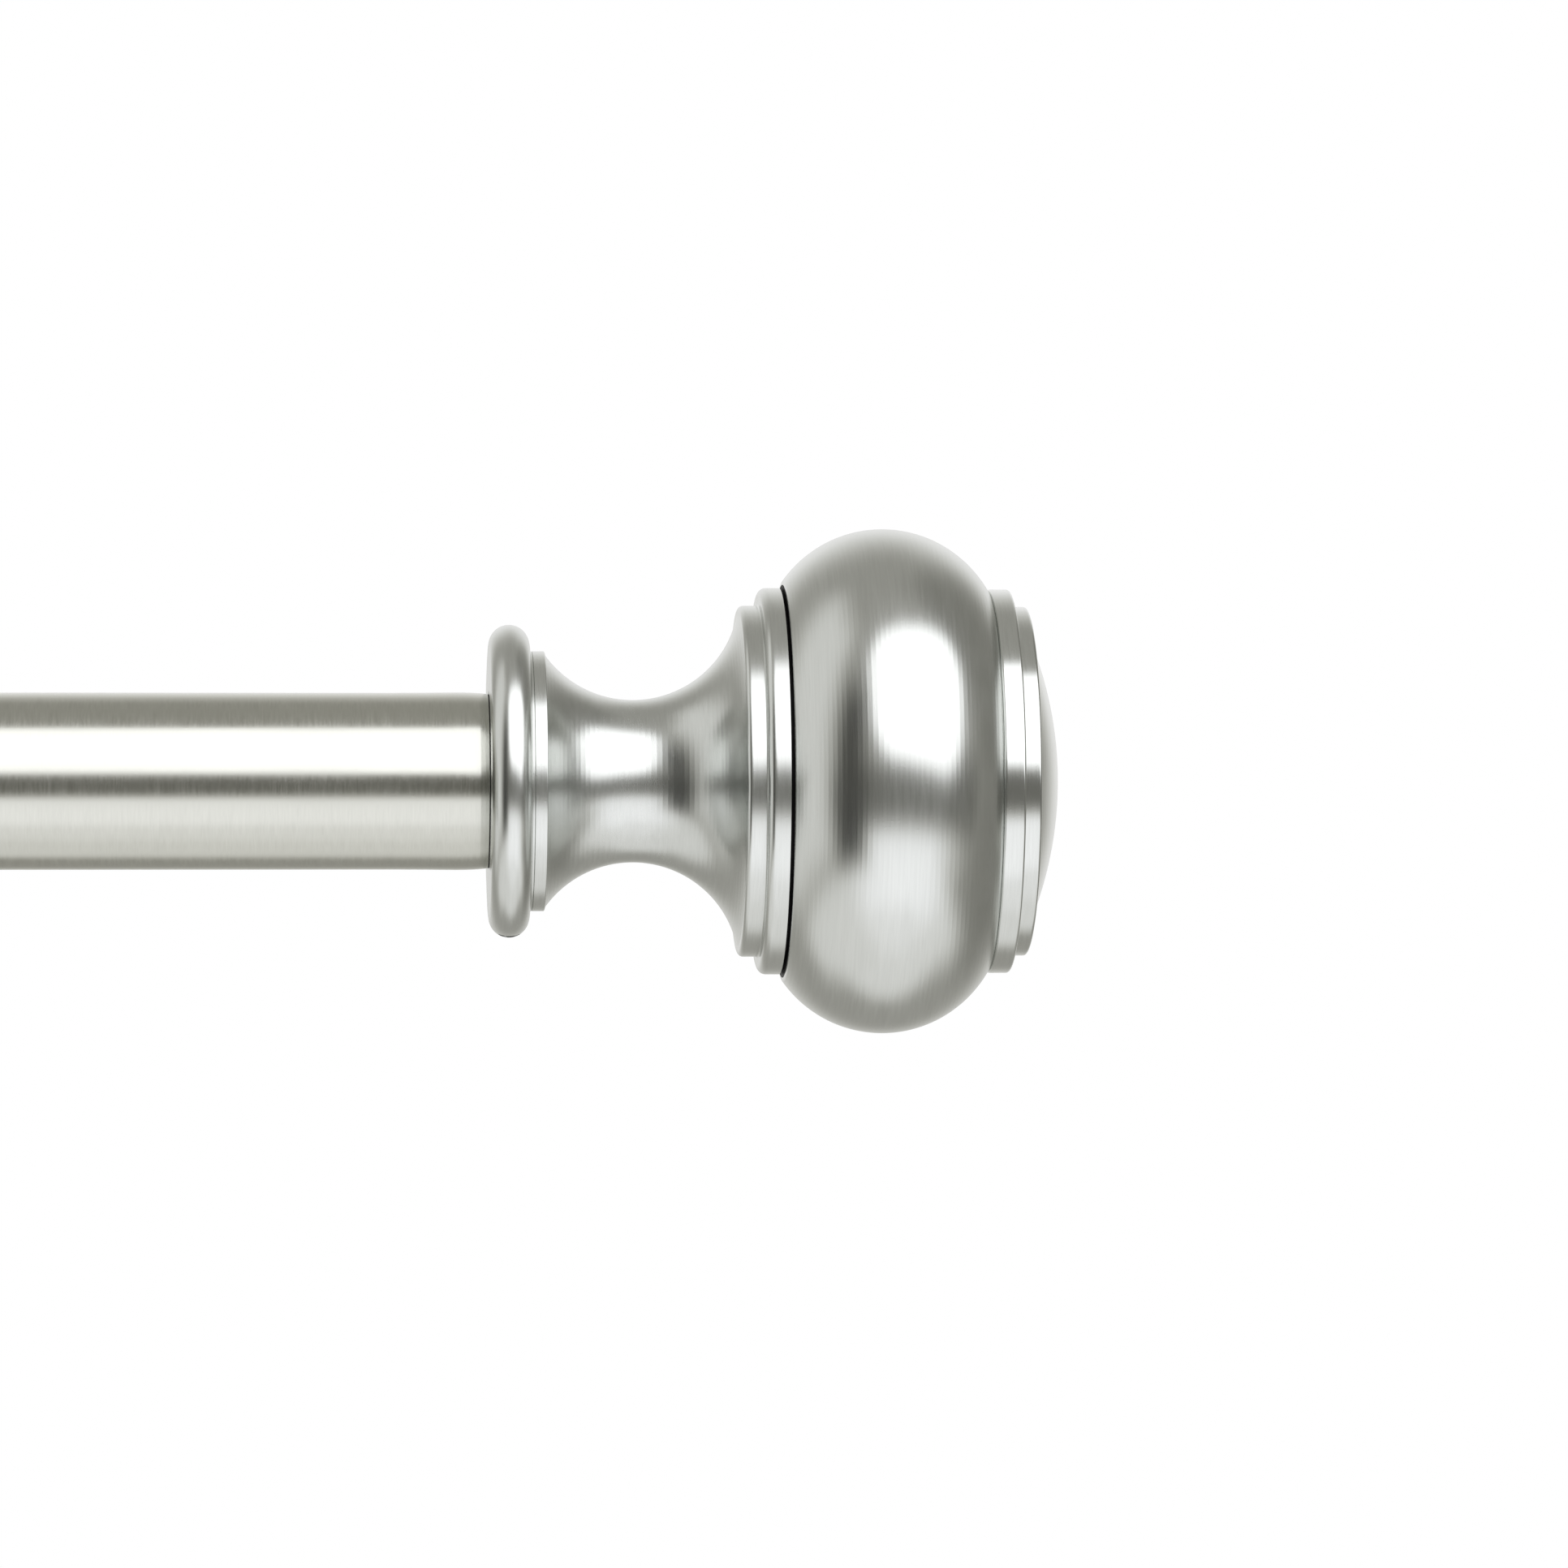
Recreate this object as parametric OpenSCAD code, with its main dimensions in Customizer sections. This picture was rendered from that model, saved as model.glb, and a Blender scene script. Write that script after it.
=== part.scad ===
// Telescoping curtain rod with two turned finials and two adjustable wall brackets.
// Millimetres. +Z is up, the wall is the plane y = 0 and the room is on its -Y side.
// The origin is the centre of the right bracket's wall plate, on the plate's back face.

/* [Rod] */
// Outside diameter of the outer tube
rod_d = 25.4; // [25.0:0.1:25.8]
// Outside diameter of the inner tube
inner_d = 22.2; // [21.8:0.1:22.4]
// Wall thickness of both tubes
tube_wall = 0.8; // [0.6:0.1:0.8]
// Shortest length of the rod between its finials
rod_short = 711.2; // [650:0.1:760]
// Length of inner tube that shows in this setting of the rod
inner_shown = 145; // [140:1:170]
// Length of the inner tube
inner_len = 711; // [660:1:740]

/* [Finial] */
// Width of the round ring next to the rod
ring_w = 5.8; // [5.6:0.1:6.2]
// Outer radius of that ring
ring_r = 22.5; // [22.0:0.1:23.0]
// Radius of the flat collar behind the ring
collar_r = 18.7; // [18.3:0.05:18.8]
// Radius of the neck at its waist
waist_r = 11.7; // [11.4:0.1:11.8]
// Distance from the ring's face to the waist
waist_at = 20.7; // [20.3:0.1:21.1]
// Radius of the hollow curve of the neck
cove_r = 15.56; // [15.4:0.02:15.7]
// Radius of the first step before the knob
step_r = 25.3; // [24.8:0.1:25.4]
// Radius of the second step before the knob
lip_r = 27.85; // [27.4:0.05:27.9]
// Length of the neck casting, from the ring's face to the second step's face
neck_len = 41.9; // [41.6:0.05:42.2]
// Width of the dark joint between the neck and the knob
joint_gap = 0.4; // [0.3:0.1:0.8]
// Largest radius of the knob
knob_r = 36.37; // [36.0:0.01:36.4]
// Radius of the knob's rounded side
knob_round_r = 17.43; // [17.2:0.01:17.5]
// Distance from the ring's face to the knob's widest place
knob_at = 56.7; // [56.4:0.05:56.9]
// Radius of the end cap's first step
cap_r = 27.7; // [27.5:0.1:28]
// Radius of the end cap's second step
cap_step_r = 25.2; // [24.8:0.1:25.6]
// Radius of the low dome on the end cap
dome_edge_r = 21.6; // [20.5:0.1:22]
// Height of the low dome
dome_h = 4.5; // [3.5:0.1:5]

/* [Brackets] */
// Distance from the wall to the rod's axis with the arm pushed in
projection = 90; // [90:0.5:96]
// Distance from the right bracket to the right finial
right_inset = 125; // [90:1:200]
// Distance from the left bracket to the left finial
left_inset = 115; // [90:1:118]
// Radius of the wall rosette
rosette_r = 30; // [29:0.5:34]
// Radius of the arm shaft
arm_r = 5; // [4.8:0.1:5.2]
// Radius of the sleeve that the arm slides in
sleeve_r = 8; // [7.6:0.1:8.2]
// Width of the cup along the rod
cup_w = 18; // [16:1:22]
// Wall thickness of the cup
cup_wall = 2.6; // [2.2:0.1:3]
// Height of the cup's lips above the rod's axis
cup_lip_h = 8; // [5:0.5:12]
// Distance between the two wall screws of a bracket
screw_spacing = 34; // [32:1:36]
// Length of a wall screw under its head
wall_screw_len = 32; // [25:1:45]

/* [Hidden] */
$fn = 96;
eps = 0.01;

// Clearances
slide_gap = 0.05;
free_gap = 0.3;

// Tubes
rod_r = rod_d / 2;
rod_bore_r = rod_r - tube_wall;
inner_r = inner_d / 2;
inner_bore_r = inner_r - tube_wall;
socket_depth = 10;
tube_end_gap = 0.2;
tube_reach = socket_depth - tube_end_gap;
right_ring_x = right_inset;
mouth_x = right_ring_x - rod_short;
left_ring_x = mouth_x - inner_shown;
left_bracket_x = left_ring_x + left_inset;
bush_flange = 1.2;
bush_len = 14;
bush_round = 0.4;
glide_head = 6;
glide_plug = 12;
glide_wall = 2;
glide_round = 1;

// Finial stations, measured from the ring's rod-side face
bead_r = ring_w / 2;
bead_centre_r = ring_r - bead_r;
collar_end = 8;
collar_round = 0.35;
cove_centre_r = waist_r + cove_r;
step_at = 35.85;
lip_at = 38.7;
step_round = 1.15;
knob_start = neck_len + joint_gap;
knob_centre_r = knob_r - knob_round_r;
knob_wall = 1.2;
knob_web = 1.5;
cap_at = 71.9;
cap_step_at = 75;
cap_face_at = 77.5;
cap_round = 0.4;
dome_r = (dome_edge_r * dome_edge_r + dome_h * dome_h) / (2 * dome_h);
finial_len = cap_face_at + dome_h;
cap_mouth_r = knob_centre_r + round_at(knob_round_r - knob_wall, cap_at - knob_at);
cap_spigot = 3;
cap_rim = 3;
cap_wall = 2;
boss_r = 6;
core_wall = 2.6;
core_start = 25;
core_end = neck_len - core_wall;
core_r = cove_centre_r - 0.3 * cove_r;
seat_r = 26;
seat_w = 6;
stud_r = 3;
stud_round = 0.6;
stud_start = 12;
stud_end = 73.5;
socket_r = rod_r + slide_gap;
socket_chamfer = 0.35;
set_screw_r = 1.5;
set_screw_turn = 5;
set_screw_sunk = 0.35;
set_screw_end_r = ring_r - set_screw_sunk;
hex_socket_r = 0.86;
hex_socket_deep = 1.2;

// Bracket stations, measured out from the wall
plate_t = 3;
plate_r = 25;
plate_round = 0.6;
spigot_r = 5;
spigot_depth = 1.5;
screw_shank_r = 2.1;
screw_neck_r = 1.7;
screw_hole_r = 2.5;
screw_head_r = 4;
screw_head_h = 2.4;
screw_head_round = 1;
screw_tip = 5;
screw_point_r = 0.5;
sleeve_end = 50;
collar_out_at = 38.5;
collar_out_r = 10.5;
collar_out_round = 1.6;
sleeve_floor = 6;
arm_rear = 6.6;
arm_round = 0.5;
rosette_rear = 0.3;
rosette_rim = 3.5;
rosette_step = 7;
rosette_ledge = 3;
rosette_step_r = rosette_r - rosette_ledge;
rosette_round = 1.1;
rosette_cove_r = 13.5;
rosette_cove_end = 18;
rosette_cove_over = 1.5;
rosette_bead_r = 1.7;
rosette_front = rosette_cove_end + 2 * rosette_bead_r;
rosette_throat_r = 12;
rosette_foot_r = rosette_throat_r + rosette_cove_r - 2;
rosette_bore_r = sleeve_r + 0.1;
rosette_pocket_r = 26;
rosette_pocket = 3.2;
head_pocket_r = 22.3;
head_pocket = 5.6;
rosette_bead_at = rosette_cove_end + rosette_bead_r;
rosette_screw_sunk = 0.4;

// Cup, measured from the rod's axis with -Y towards the room
cup_inner_r = rod_r + free_gap;
cup_outer_r = cup_inner_r + cup_wall;
hub_r = 7.5;
hub_round = 1.5;
hub_sunk = 1.2;
hub_front = projection - cup_outer_r + hub_sunk;
hub_rear = 66;
arm_end_gap = 0.4;
arm_front = hub_front - arm_end_gap;
lock_boss_r = 6.5;
lock_boss_low = -21;
left_cup_rise = rod_r - inner_r;

// Thumbscrews, measured down from the face that the pad presses on
screw_r = 2;
screw_bore_r = screw_r + slide_gap;
nose_r = 1.2;
nose_h = 1;
knurls = 24;
knurl_r = 0.55;
knurl_out = 0.1;
head_round = 0.8;
rod_pad_r = 3;
rod_pad_h = 2.2;
rod_head_r = 7;
rod_head_h = 9;
rod_screw_len = 9;
arm_pad_r = 2.4;
arm_pad_h = 1.6;
arm_head_r = 5.2;
arm_head_h = 6.5;
arm_screw_len = 7;
pad_travel = 1.4;
lock_at = 44;

// Half of the chord of a circle of radius r at a distance d from its centre
function round_at(r, d) = sqrt(r * r - d * d);

// Turned shapes: the profile's x is the radius and its y is the distance along the axis
module turn_along_rod() {
    rotate([0, 90, 0]) rotate_extrude() children();
}

module turn_from_wall() {
    rotate([90, 0, 0]) rotate_extrude() children();
}

module on_rod() {
    translate([0, -projection, 0]) children();
}

module on_right_finial() {
    translate([right_ring_x, -projection, 0]) children();
}

module on_left_finial() {
    translate([left_ring_x, -projection, 0]) mirror([1, 0, 0]) children();
}

module on_left_bracket() {
    translate([left_bracket_x, 0, left_cup_rise]) children();
}

// A flat-sided band of a profile, with its corner rounded at the low or the high end
module band(r, from, to, low_round = 0, high_round = 0) {
    translate([0, from + low_round]) square([r, to - from - low_round - high_round]);
    if (low_round > 0) {
        translate([0, from]) square([r - low_round, low_round + eps]);
        translate([r - low_round, from + low_round]) circle(low_round);
    }
    if (high_round > 0) {
        translate([0, to - high_round - eps]) square([r - high_round, high_round + eps]);
        translate([r - high_round, to - high_round]) circle(high_round);
    }
}

module hole_band(r, from, to) {
    translate([-eps, from]) square([r + eps, to - from]);
}

// Rod

module tube(from, to, r) {
    on_rod() translate([from, 0, 0]) turn_along_rod() difference() {
        band(r, 0, to - from);
        hole_band(r - tube_wall, -1, to - from + 1);
    }
}

module outer_tube() {
    color("silver") tube(mouth_x, right_ring_x + tube_reach, rod_r);
}

module inner_tube() {
    from = left_ring_x - tube_reach;
    color("silver") tube(from, from + inner_len, inner_r);
}

// Plastic bush in the mouth of the outer tube, which the inner tube slides through
module glide_bush() {
    color("dimgray") on_rod() translate([mouth_x, 0, 0]) turn_along_rod() difference() {
        union() {
            band(rod_r, -bush_flange, 0, bush_round, 0);
            band(rod_bore_r, 0, bush_len);
        }
        hole_band(inner_r + slide_gap, -bush_flange - 1, bush_len + 1);
    }
}

// Plastic plug in the hidden end of the inner tube, which keeps it centred in the outer tube
module inner_glide() {
    at = left_ring_x - tube_reach + inner_len;
    color("dimgray") on_rod() translate([at, 0, 0]) turn_along_rod() difference() {
        union() {
            band(inner_bore_r, -glide_plug, 0);
            band(rod_bore_r - slide_gap, 0, glide_head, 0, glide_round);
        }
        hole_band(inner_bore_r - glide_wall, -glide_plug - 1, glide_head + 1);
    }
}

// Sleeve that brings the inner tube's end up to the size of the finial's socket
module reducer_sleeve() {
    color("gainsboro") on_left_finial() turn_along_rod() difference() {
        band(rod_r, tube_end_gap, socket_depth - tube_end_gap);
        hole_band(inner_r, -1, socket_depth + 1);
    }
}

// Finials

module neck_profile() {
    difference() {
        union() {
            band(bead_centre_r, 0, ring_w);
            translate([bead_centre_r, bead_r]) circle(bead_r);
            band(collar_r, ring_w - eps, collar_end, 0, collar_round);
            difference() {
                band(cove_centre_r - 1, collar_end - eps, step_at + eps);
                translate([cove_centre_r, waist_at]) circle(cove_r);
            }
            band(step_r, step_at, lip_at + eps, step_round, 0);
            band(lip_r, lip_at, neck_len, step_round, 0);
            band(seat_r, neck_len - eps, knob_start);
        }
        hole_band(socket_r, -1, socket_depth);
        polygon([
            [socket_r - eps, -eps],
            [socket_r + socket_chamfer, -eps],
            [socket_r - eps, socket_chamfer]
        ]);
        hole_band(stud_r, socket_depth - 1, core_start + 1);
        neck_core();
    }
}

// Hollow behind the neck's curved wall, left by the casting core
module neck_core() {
    difference() {
        hole_band(core_r, core_start, core_end);
        translate([cove_centre_r, waist_at]) circle(cove_r + core_wall);
    }
    hole_band(seat_r - seat_w, core_end - eps, knob_start + 1);
}

module set_screw_place() {
    translate([bead_r, 0, 0]) rotate([-set_screw_turn, 0, 0]) mirror([0, 0, 1]) children();
}

module finial_neck() {
    color("silver") difference() {
        turn_along_rod() neck_profile();
        set_screw_place() cylinder(h = ring_r + 1, r = set_screw_r + slide_gap);
    }
}

module finial_knob() {
    color("silver") turn_along_rod() difference() {
        intersection() {
            union() {
                translate([knob_centre_r, knob_at]) circle(knob_round_r);
                band(knob_centre_r, knob_start, cap_at);
            }
            band(knob_r + 1, knob_start, cap_at);
        }
        intersection() {
            union() {
                translate([knob_centre_r, knob_at]) circle(knob_round_r - knob_wall);
                hole_band(knob_centre_r, knob_start, cap_at + 1);
            }
            hole_band(knob_r + 1, knob_start + knob_web, cap_at + 1);
        }
        hole_band(stud_r + free_gap, knob_start - 1, cap_at);
    }
}

module finial_cap() {
    color("silver") turn_along_rod() difference() {
        union() {
            band(cap_r, cap_at, cap_step_at + eps, cap_round, cap_round);
            band(cap_step_r, cap_step_at, cap_face_at, 0, cap_round);
            intersection() {
                translate([0, finial_len - dome_r]) circle(dome_r);
                band(dome_edge_r + 1, cap_face_at - 1, finial_len);
            }
            band(cap_mouth_r - slide_gap, cap_at - cap_spigot, cap_at + eps);
            band(boss_r, cap_at - 2 * cap_spigot, cap_at);
        }
        difference() {
            hole_band(cap_mouth_r - cap_rim, cap_at - cap_spigot - 1, cap_face_at - cap_wall);
            hole_band(boss_r, cap_at - 3 * cap_spigot, cap_face_at);
        }
        hole_band(stud_r, cap_at - 3 * cap_spigot, stud_end + eps);
    }
}

module finial_stud() {
    color("darkgray") turn_along_rod() band(stud_r, stud_start, stud_end, stud_round, stud_round);
}

module hex_socket() {
    cylinder(h = hex_socket_deep + 1, r = hex_socket_r, $fn = 6);
}

module finial_set_screw() {
    color("dimgray") set_screw_place() difference() {
        translate([0, 0, socket_r + slide_gap])
            cylinder(h = set_screw_end_r - socket_r - slide_gap, r = set_screw_r);
        translate([0, 0, set_screw_end_r - hex_socket_deep]) hex_socket();
    }
}

// Brackets, drawn for a wall plate centred on the origin

module wall_plate() {
    color("lightgray") difference() {
        turn_from_wall() difference() {
            band(plate_r, 0, plate_t, 0, plate_round);
            hole_band(spigot_r, plate_t - spigot_depth, plate_t + 1);
        }
        for (side = [-1, 1]) {
            translate([0, 1, side * screw_spacing / 2]) rotate([90, 0, 0])
                cylinder(h = plate_t + 2, r = screw_hole_r);
        }
    }
}

module arm_sleeve() {
    color("silver") difference() {
        turn_from_wall() difference() {
            union() {
                band(spigot_r, plate_t - spigot_depth, plate_t + eps);
                band(sleeve_r, plate_t, sleeve_end);
                band(collar_out_r, collar_out_at, sleeve_end, collar_out_round, collar_out_round);
            }
            hole_band(arm_r + slide_gap, sleeve_floor, sleeve_end + 1);
        }
        translate([0, -lock_at, -2 * sleeve_r]) cylinder(h = 2 * sleeve_r, r = screw_bore_r);
        translate([0, -lock_at, arm_pad_top() - arm_pad_h - pad_travel - free_gap])
            cylinder(h = arm_r + arm_pad_h, r = arm_pad_r + slide_gap);
    }
}

function arm_pad_top() = -arm_r - free_gap;

module rosette_profile() {
    difference() {
        union() {
            band(rosette_r, rosette_rear, rosette_rim, 0, rosette_round);
            band(rosette_step_r, rosette_rim - eps, rosette_step, 0, rosette_round);
            difference() {
                band(rosette_foot_r, rosette_step - eps, rosette_cove_end);
                translate([rosette_throat_r + rosette_cove_r, rosette_cove_end + rosette_cove_over])
                    circle(rosette_cove_r);
            }
            band(rosette_throat_r, rosette_cove_end - eps, rosette_front);
            translate([rosette_throat_r, rosette_bead_at]) circle(rosette_bead_r);
        }
        hole_band(rosette_bore_r, -1, rosette_front + 1);
        hole_band(rosette_pocket_r, -1, rosette_pocket);
        hole_band(head_pocket_r, -1, head_pocket);
    }
}

module rosette() {
    color("silver") difference() {
        turn_from_wall() rosette_profile();
        translate([0, -rosette_bead_at, -rosette_r])
            cylinder(h = rosette_r, r = set_screw_r + slide_gap);
    }
}

module rosette_screw() {
    top = -rosette_bore_r - slide_gap;
    low = -rosette_throat_r - rosette_bead_r + rosette_screw_sunk;
    color("dimgray") translate([0, -rosette_bead_at, 0]) difference() {
        translate([0, 0, low]) cylinder(h = top - low, r = set_screw_r);
        translate([0, 0, low - 1]) hex_socket();
    }
}

// Two pan-head screws with a cross recess, which stand out behind the plate
module wall_screws() {
    color("lightgray") for (side = [-1, 1]) {
        translate([0, 0, side * screw_spacing / 2]) turn_from_wall_screw();
    }
}

module turn_from_wall_screw() {
    recess_w = 1;
    recess_l = 4.4;
    recess_deep = 1.4;
    difference() {
        turn_from_wall() translate([0, plate_t]) union() {
            band(screw_head_r, 0, screw_head_h, 0, screw_head_round);
            band(screw_neck_r, -plate_t - eps, eps);
            band(screw_shank_r, screw_tip - wall_screw_len, -plate_t);
            polygon([
                [0, screw_tip - wall_screw_len + eps],
                [screw_shank_r, screw_tip - wall_screw_len + eps],
                [screw_point_r, -wall_screw_len],
                [0, -wall_screw_len]
            ]);
        }
        for (size = [[recess_w, recess_l], [recess_l, recess_w]]) {
            translate([-size[0] / 2, -plate_t - screw_head_h - 1, -size[1] / 2])
                cube([size[0], recess_deep + 1, size[1]]);
        }
    }
}

module arm_shaft() {
    color("silver") turn_from_wall() band(arm_r, arm_rear, arm_front, arm_round, 0);
}

module cup_outline() {
    difference() {
        union() {
            circle(cup_outer_r);
            translate([-cup_outer_r, 0]) square([2 * cup_outer_r, cup_lip_h]);
            for (side = [-1, 1]) {
                translate([side * (cup_outer_r - cup_wall / 2), cup_lip_h]) circle(cup_wall / 2);
            }
        }
        circle(cup_inner_r);
        translate([-cup_inner_r, 0]) square([2 * cup_inner_r, cup_outer_r + cup_lip_h]);
    }
}

module cup() {
    pad_top = -cup_inner_r;
    color("silver") difference() {
        union() {
            on_rod() rotate([90, 0, 90]) translate([0, 0, -cup_w / 2]) linear_extrude(cup_w) cup_outline();
            difference() {
                union() {
                    turn_from_wall() band(hub_r, hub_rear, projection, hub_round, 0);
                    on_rod() translate([0, 0, lock_boss_low]) cylinder(h = -lock_boss_low, r = lock_boss_r);
                }
                on_rod() rotate([0, 90, 0]) cylinder(h = 4 * hub_r, r = cup_inner_r + eps, center = true);
                on_rod() translate([-2 * hub_r, -cup_inner_r, 0])
                    cube([4 * hub_r, 2 * cup_inner_r, hub_r + 1]);
            }
        }
        turn_from_wall() band(arm_r, hub_rear - 1, arm_front);
        on_rod() translate([0, 0, lock_boss_low - 1]) cylinder(h = -lock_boss_low, r = screw_bore_r);
        on_rod() translate([0, 0, pad_top - rod_pad_h - pad_travel - free_gap])
            cylinder(h = rod_pad_h + pad_travel + 2, r = rod_pad_r + slide_gap);
    }
}

// Round pad that swivels on the nose of a thumbscrew; its top face is at z = 0
module pad(r, h) {
    color("whitesmoke") difference() {
        translate([0, 0, -h]) cylinder(h = h, r = r);
        translate([0, 0, -h - 1]) cylinder(h = nose_h + slide_gap + 1, r = nose_r + slide_gap);
    }
}

// Knurled thumbscrew under a pad of height pad_h, with its pad's top face at z = 0
module thumbscrew(pad_h, len, head_r, head_h) {
    tip = -pad_h;
    head_top = tip - len;
    color("silver") difference() {
        union() {
            translate([0, 0, tip - eps]) cylinder(h = nose_h + eps, r = nose_r);
            translate([0, 0, head_top - eps]) cylinder(h = len + eps, r = screw_r);
            mirror([0, 0, 1]) rotate_extrude()
                band(head_r, -head_top, -head_top + head_h, head_round, head_round);
        }
        for (i = [0 : knurls - 1]) {
            rotate(i * 360 / knurls) translate([head_r + knurl_out, 0, head_top - head_h - 1])
                cylinder(h = head_h + 2, r = knurl_r, $fn = 16);
        }
    }
}

module at_rod_pad() {
    on_rod() translate([0, 0, -cup_inner_r]) children();
}

module at_arm_pad() {
    translate([0, -lock_at, arm_pad_top()]) children();
}

module rod_pad() {
    at_rod_pad() pad(rod_pad_r, rod_pad_h);
}

module rod_screw() {
    at_rod_pad() thumbscrew(rod_pad_h, rod_screw_len, rod_head_r, rod_head_h);
}

module arm_pad() {
    at_arm_pad() pad(arm_pad_r, arm_pad_h);
}

module arm_screw() {
    at_arm_pad() thumbscrew(arm_pad_h, arm_screw_len, arm_head_r, arm_head_h);
}

outer_tube();
inner_tube();
glide_bush();
inner_glide();
reducer_sleeve();

on_right_finial() finial_neck();  // right_finial_neck
on_right_finial() finial_knob();  // right_finial_knob
on_right_finial() finial_cap();  // right_finial_cap
on_right_finial() finial_stud();  // right_finial_stud
on_right_finial() finial_set_screw();  // right_finial_set_screw

on_left_finial() finial_neck();  // left_finial_neck
on_left_finial() finial_knob();  // left_finial_knob
on_left_finial() finial_cap();  // left_finial_cap
on_left_finial() finial_stud();  // left_finial_stud
on_left_finial() finial_set_screw();  // left_finial_set_screw

wall_plate();  // right_wall_plate
arm_sleeve();  // right_arm_sleeve
rosette();  // right_rosette
rosette_screw();  // right_rosette_screw
wall_screws();  // right_wall_screws
arm_shaft();  // right_arm_shaft
cup();  // right_cup
rod_screw();  // right_rod_screw
rod_pad();  // right_rod_pad
arm_screw();  // right_arm_screw
arm_pad();  // right_arm_pad

on_left_bracket() wall_plate();  // left_wall_plate
on_left_bracket() arm_sleeve();  // left_arm_sleeve
on_left_bracket() rosette();  // left_rosette
on_left_bracket() rosette_screw();  // left_rosette_screw
on_left_bracket() wall_screws();  // left_wall_screws
on_left_bracket() arm_shaft();  // left_arm_shaft
on_left_bracket() cup();  // left_cup
on_left_bracket() rod_screw();  // left_rod_screw
on_left_bracket() rod_pad();  // left_rod_pad
on_left_bracket() arm_screw();  // left_arm_screw
on_left_bracket() arm_pad();  // left_arm_pad
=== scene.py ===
"""The looks of the curtain rod set: satin nickel tubes, turned finials and wall brackets.

Outlines are in millimetres. Their places come from the boxes of the CAD nodes that they stand for.
"""
import math

import bpy
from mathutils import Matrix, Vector


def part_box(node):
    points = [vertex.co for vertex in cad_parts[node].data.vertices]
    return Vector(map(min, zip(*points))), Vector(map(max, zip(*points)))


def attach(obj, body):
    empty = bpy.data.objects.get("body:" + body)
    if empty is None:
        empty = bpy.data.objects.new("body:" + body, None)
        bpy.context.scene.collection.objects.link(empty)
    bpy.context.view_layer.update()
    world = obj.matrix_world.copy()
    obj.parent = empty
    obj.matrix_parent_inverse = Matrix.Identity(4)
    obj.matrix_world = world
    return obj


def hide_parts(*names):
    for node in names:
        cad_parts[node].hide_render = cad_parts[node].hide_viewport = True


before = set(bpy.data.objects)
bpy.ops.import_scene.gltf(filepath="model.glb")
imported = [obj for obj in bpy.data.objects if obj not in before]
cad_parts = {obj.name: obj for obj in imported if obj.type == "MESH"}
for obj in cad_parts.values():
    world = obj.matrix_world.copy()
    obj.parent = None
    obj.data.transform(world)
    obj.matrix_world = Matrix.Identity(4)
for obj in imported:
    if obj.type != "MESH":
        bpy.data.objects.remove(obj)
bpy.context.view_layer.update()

MM = 0.001
SIDES = ("right", "left")
ALONG_X = (1, 0, 0)

# Cuts round a turned piece and round a drilled hole
RING_CUTS = 160
HOLE_CUTS = 64

# Degrees from point to point along each kind of curve
BEAD_STEP = 6
COVE_STEP = 3
KNOB_STEP = 2.5
DOME_STEP = 1.2
CORE_STEP = 8
FILLET_STEP = 15

# The most of a straight stretch that a rounding takes up
FILLET_SHARE = 0.48

# Support points stand this far from the ends of each stretch that is longer than the least
SUPPORT = 0.07
SUPPORT_LEAST = 0.42

# An outline point nearer the axis than this lies on it
ON_AXIS = 1e-6

# Shading breaks where faces meet at more than this
SHARP_ANGLE = math.radians(32)

# Rod
TUBE_WALL = 0.8
TUBE_EDGE = 0.2
TUBE_MOUTH_LENGTH = 0.45
TUBE_MOUTH_DROP = 0.5
TUBE_MOUTH_ROUND = 0.25
TUBE_END_DROP = 0.3
SOCKET_DEPTH = 10
SOCKET_GAP = 0.05
SOCKET_CHAMFER = 0.35
SOCKET_EDGE = 0.06
BUSH_GAP = 0.05
BUSH_EDGE = 0.15
BUSH_ROUND = 0.45

# The outer tube swells before the finial's ring and is rolled in at its end: distance past the ring's
# face, and height over the tube's radius. The last stretch lies in the shadow of the ring and gets painted
# shade.
TUBE_ROLL = [
    (-14, 0), (-9, 0.0245), (-5, 0.07), (-3.4, 0.056), (-2.3, 0.02), (-1.4, -0.03), (-0.7, -0.1),
    (-0.15, -0.18), (0.4, -0.25),
]

# Finial, by distance from the ring's rod-side face and radius
RING_W = 5.8
RING_R = 22.5
COLLAR_R = 18.7
COLLAR_END = 8.0
COLLAR_ROUND = 0.35
COLLAR_CORNER = 0.1
GROOVE_AT = 6.17
GROOVE = 0.06
WAIST_R = 11.7
WAIST_AT = 20.7
COVE_R = 15.56
STEP_AT = 35.85
STEP_R = 25.3
STEP_ROUND = 1.15
LIP_AT = 38.7
LIP_R = 27.85
LIP_CORNER = 0.22
LIP_EDGE = 0.12
NECK_END = 41.9
SEAT_R = 26.0
SEAT_HOLE_R = 20.0
CORE_WALL = 2.6
CORE_START = 25
CORE_R = 22.592
STUD_R = 3
STUD_HOLE_R = 3.3
KNOB_START = 42.3
KNOB_R = 36.365
KNOB_ROUND_R = 17.43
KNOB_AT = 56.7
KNOB_WALL = 1.2
KNOB_WEB = 1.5
CAP_AT = 71.9
CAP_R = 27.7
CAP_STEP_AT = 75
CAP_STEP_R = 25.2
CAP_FACE_AT = 77.5
CAP_ROUND = 0.4
CAP_CORNER = 0.15
CAP_SPIGOT_H = 3
CAP_SPIGOT_WALL = 3
CAP_SPIGOT_GAP = 0.05
CAP_SPIGOT_EDGE = 0.2
CAP_PLATE = 2
CAP_BOSS_H = 6
CAP_BOSS_R = 6
DOME_EDGE_R = 21.6
DOME_H = 4.5
SET_SCREW_TURN = 5
SET_SCREW_HOLE_R = 1.55
DRILL_PAST = 2
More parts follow.
